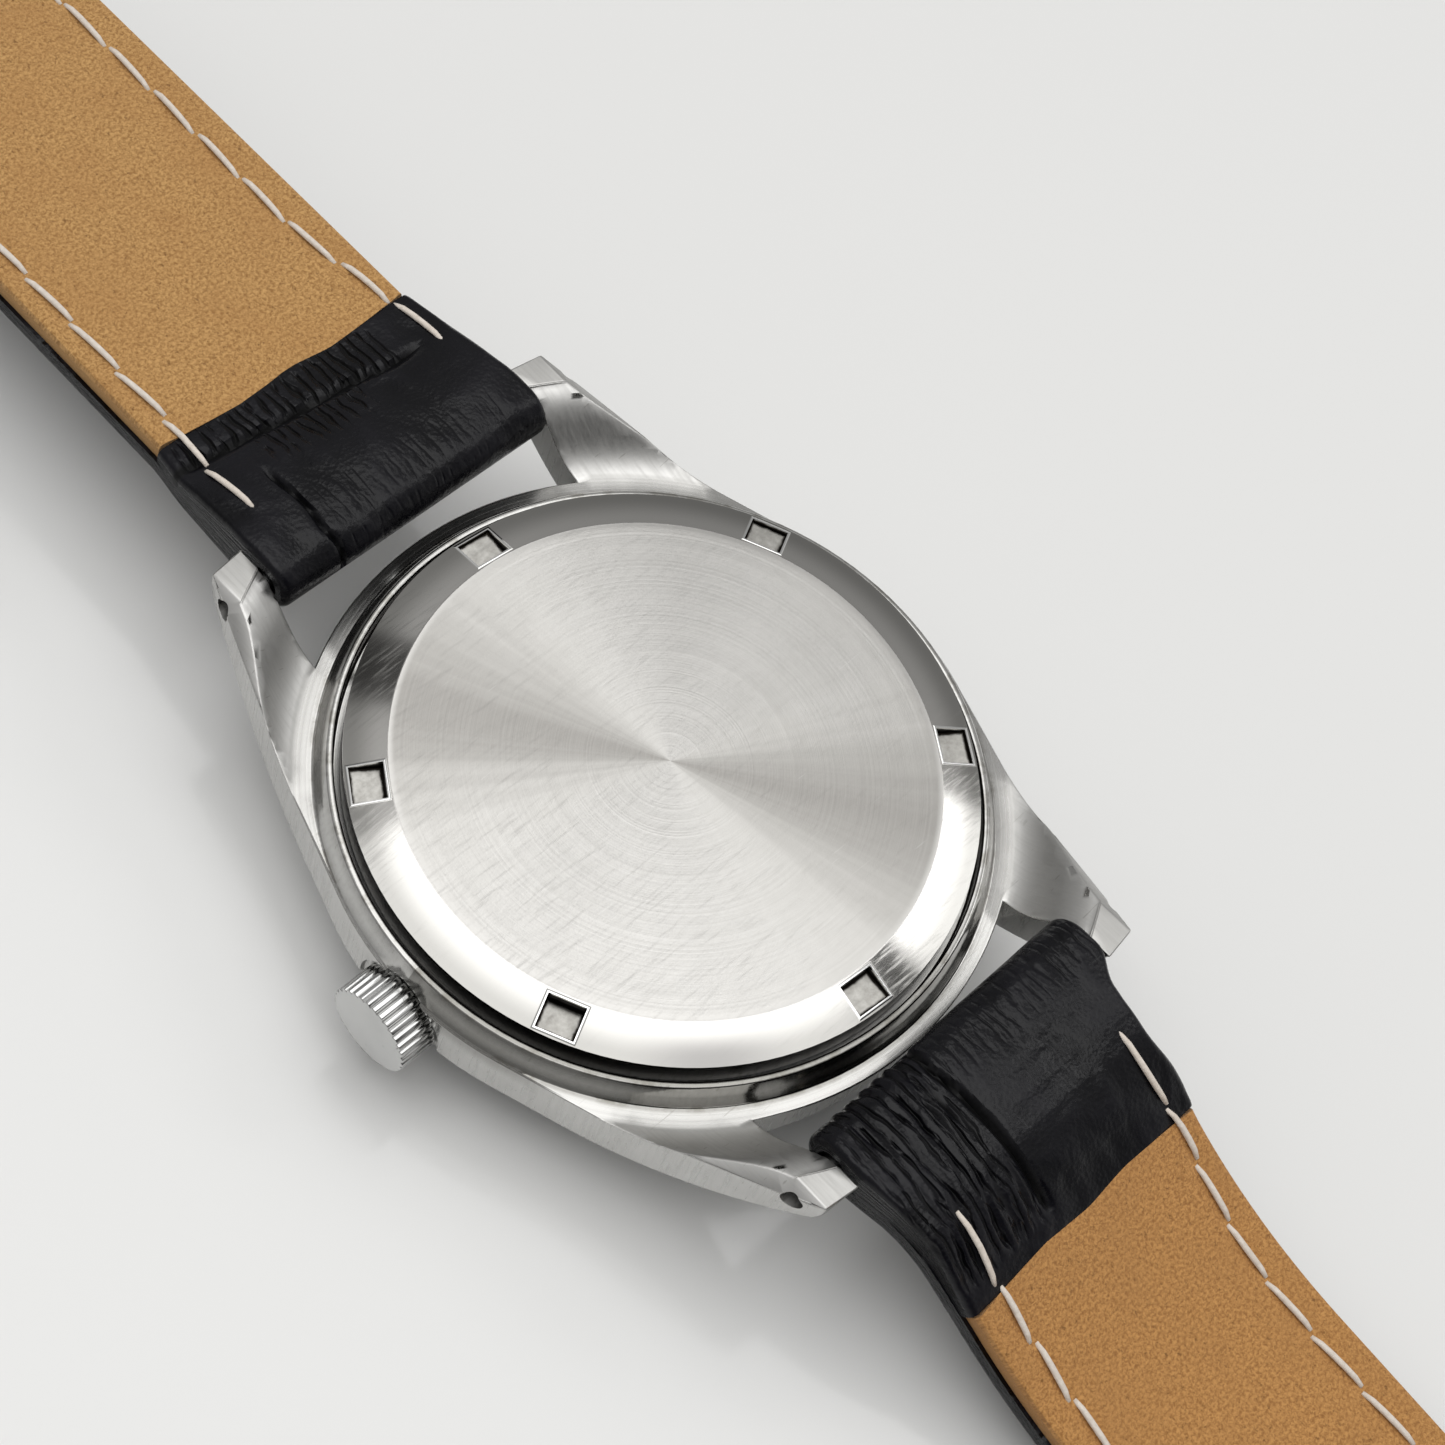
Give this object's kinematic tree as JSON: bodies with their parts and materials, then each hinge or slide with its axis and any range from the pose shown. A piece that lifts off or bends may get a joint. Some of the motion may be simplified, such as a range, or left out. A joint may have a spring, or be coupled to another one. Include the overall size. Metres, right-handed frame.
{
  "type": "wristwatch",
  "caption": "Mechanical wristwatch lying face down, with a screw-down steel case back, drilled lugs, fluted crown and a two-piece lined leather strap with pin buckle.",
  "frame": {"origin": "centre of the flat top of the crystal, on which the watch lies", "axes": "+Z from the crystal to the case back, +Y towards 12 o'clock, crown at 3 o'clock towards -X"},
  "size_m": [0.0363, 0.2494, 0.0116],
  "materials": {
    "case_steel": "brushed, with polished bevels",
    "polished_steel": "polished",
    "crystal": "clear",
    "seal": "matt",
    "dial": "satin",
    "rhodium": "fine grained",
    "gilt": "brushed",
    "spring_steel": "polished",
    "ruby": "polished",
    "black_leather": "embossed scales",
    "tan_lining": "suede"
  },
  "bodies": {
    "case": {"mid_case": "case_steel", "bezel": "polished_steel", "crystal": "crystal", "tension_ring": "polished_steel", "crown_tube": "case_steel", "case_back_gasket": "seal", "dial": "dial", "hour_markers": "polished_steel", "main_plate": "rhodium", "movement_ring": "case_steel", "barrel_bridge": "rhodium", "train_bridge": "rhodium", "pallet_bridge": "rhodium", "balance_cock": "rhodium", "jewels": "ruby", "bridge_screws": "spring_steel", "spring_bar_12": "polished_steel", "spring_bar_6": "polished_steel"},
    "case_back": {"case_back": "case_steel"},
    "clutch": {"clutch_wheel": "spring_steel"},
    "winding_pinion": {"winding_pinion": "spring_steel"},
    "crown_wheel": {"crown_wheel": "case_steel"},
    "ratchet": {"ratchet_wheel": "case_steel", "barrel_arbor": "spring_steel"},
    "crown_and_stem": {"crown": "polished_steel", "crown_gasket": "seal", "winding_stem": "spring_steel"},
    "setting_lever": {"setting_lever": "spring_steel"},
    "click": {"click": "spring_steel"},
    "fourth_wheel": {"fourth_wheel": "gilt", "seconds_hand": "polished_steel"},
    "third_wheel": {"third_wheel": "gilt"},
    "centre_wheel": {"centre_wheel": "gilt", "cannon_pinion": "spring_steel", "minute_hand": "polished_steel"},
    "minute_wheel": {"minute_wheel": "gilt"},
    "hour_wheel": {"hour_wheel": "gilt", "hour_hand": "polished_steel"},
    "barrel": {"barrel": "gilt", "barrel_cover": "gilt", "mainspring": "spring_steel"},
    "escape_wheel": {"escape_wheel": "spring_steel"},
    "pallet_fork": {"pallet_fork": "spring_steel"},
    "balance": {"balance_wheel": "gilt", "balance_staff": "spring_steel", "hairspring": "spring_steel"},
    "strap_12": {"strap_12_leather": "black_leather", "strap_12_lining": "tan_lining", "fixed_keeper": "black_leather"},
    "free_keeper": {"free_keeper": "black_leather"},
    "buckle": {"buckle_frame": "polished_steel", "buckle_bar": "polished_steel"},
    "buckle_tongue": {"buckle_tongue": "polished_steel"},
    "strap_6": {"strap_6_leather": "black_leather", "strap_6_lining": "tan_lining"}
  },
  "joints": [
    {"name": "case_back_unscrewed", "type": "slide", "parent": "case", "child": "case_back", "axis": [0, 0, 1], "range_m": [0, 0.012]},
    {"name": "crown_turn", "type": "hinge", "parent": "case", "child": "clutch", "pos_m": [-0.01, 0, 0.0052], "axis": [1, 0, 0], "continuous": true},
    {"name": "crown_pull", "type": "slide", "parent": "clutch", "child": "crown_and_stem", "axis": [-1, 0, 0], "range_m": [0, 0.0009]},
    {"name": "winding_pinion_turn", "type": "hinge", "parent": "case", "child": "winding_pinion", "pos_m": [-0.01, 0, 0.0052], "axis": [1, 0, 0], "continuous": true},
    {"name": "crown_wheel_turn", "type": "hinge", "parent": "case", "child": "crown_wheel", "pos_m": [-0.0071, 0, 0.0066], "axis": [0, 0, 1], "continuous": true},
    {"name": "ratchet_turn", "type": "hinge", "parent": "case", "child": "ratchet", "pos_m": [-0.00298, -0.00515, 0.0066], "axis": [0, 0, 1], "continuous": true},
    {"name": "setting_lever_swing", "type": "hinge", "parent": "case", "child": "setting_lever", "pos_m": [-0.01205, -0.0022, 0.0041], "axis": [0, 0, 1], "range_deg": [-1, 27]},
    {"name": "click_swing", "type": "hinge", "parent": "case", "child": "click", "pos_m": [-0.00384, -0.01008, 0.0066], "axis": [0, 0, 1], "range_deg": [-8, 0], "stiffness_Nm_per_rad": 0.0000001},
    {"name": "fourth_wheel_turn", "type": "hinge", "parent": "case", "child": "fourth_wheel", "pos_m": [0, 0, 0.0069], "axis": [0, 0, 1], "continuous": true},
    {"name": "third_wheel_turn", "type": "hinge", "parent": "case", "child": "third_wheel", "pos_m": [0.00235, 0.00407, 0.0065], "axis": [0, 0, 1], "continuous": true},
    {"name": "centre_wheel_turn", "type": "hinge", "parent": "case", "child": "centre_wheel", "pos_m": [0, 0, 0.0061], "axis": [0, 0, 1], "continuous": true},
    {"name": "minute_wheel_turn", "type": "hinge", "parent": "case", "child": "minute_wheel", "pos_m": [-0.00268, 0.00155, 0.0039], "axis": [0, 0, 1], "continuous": true},
    {"name": "hour_wheel_turn", "type": "hinge", "parent": "case", "child": "hour_wheel", "pos_m": [0, 0, 0.0036], "axis": [0, 0, 1], "continuous": true},
    {"name": "barrel_turn", "type": "hinge", "parent": "case", "child": "barrel", "pos_m": [-0.00298, -0.00515, 0.0057], "axis": [0, 0, 1], "continuous": true},
    {"name": "escape_wheel_turn", "type": "hinge", "parent": "case", "child": "escape_wheel", "pos_m": [0.00454, -0.00122, 0.0057], "axis": [0, 0, 1], "continuous": true},
    {"name": "pallet_fork_rock", "type": "hinge", "parent": "case", "child": "pallet_fork", "pos_m": [0.00512, -0.00339, 0.0057], "axis": [0, 0, 1], "range_deg": [-5, 5]},
    {"name": "balance_swing", "type": "hinge", "parent": "case", "child": "balance", "pos_m": [0.00576, -0.00576, 0.007], "axis": [0, 0, 1], "range_deg": [-270, 270], "stiffness_Nm_per_rad": 0.00000027},
    {"name": "strap_12_swing", "type": "hinge", "parent": "case", "child": "strap_12", "pos_m": [0, 0.01976, 0.01], "axis": [1, 0, 0], "range_deg": [-30, 90]},
    {"name": "free_keeper_slide", "type": "slide", "parent": "strap_12", "child": "free_keeper", "axis": [0, 1, 0], "range_m": [-0.004, 0.0018]},
    {"name": "buckle_swing", "type": "hinge", "parent": "strap_12", "child": "buckle", "pos_m": [0, 0.09914, 0.00445], "axis": [1, 0, 0], "range_deg": [-45, 45]},
    {"name": "tongue_swing", "type": "hinge", "parent": "buckle", "child": "buckle_tongue", "pos_m": [0, 0.09914, 0.00445], "axis": [-1, 0, 0], "range_deg": [0, 70]},
    {"name": "strap_6_swing", "type": "hinge", "parent": "case", "child": "strap_6", "pos_m": [0, -0.01976, 0.01], "axis": [-1, 0, 0], "range_deg": [-30, 90]}
  ],
  "couplings": [
    {"joint": "winding_pinion_turn", "follows": "crown_turn", "ratio": 1},
    {"joint": "crown_wheel_turn", "follows": "crown_turn", "ratio": 0.5},
    {"joint": "ratchet_turn", "follows": "crown_turn", "ratio": -0.41667},
    {"joint": "third_wheel_turn", "follows": "fourth_wheel_turn", "ratio": -0.13333},
    {"joint": "centre_wheel_turn", "follows": "fourth_wheel_turn", "ratio": 0.016667},
    {"joint": "minute_wheel_turn", "follows": "fourth_wheel_turn", "ratio": -0.005556},
    {"joint": "hour_wheel_turn", "follows": "fourth_wheel_turn", "ratio": 0.001389},
    {"joint": "barrel_turn", "follows": "fourth_wheel_turn", "ratio": -0.002222},
    {"joint": "escape_wheel_turn", "follows": "fourth_wheel_turn", "ratio": -10},
    {"joint": "setting_lever_swing", "follows": "crown_pull", "rad_per_m": 454.55}
  ]
}
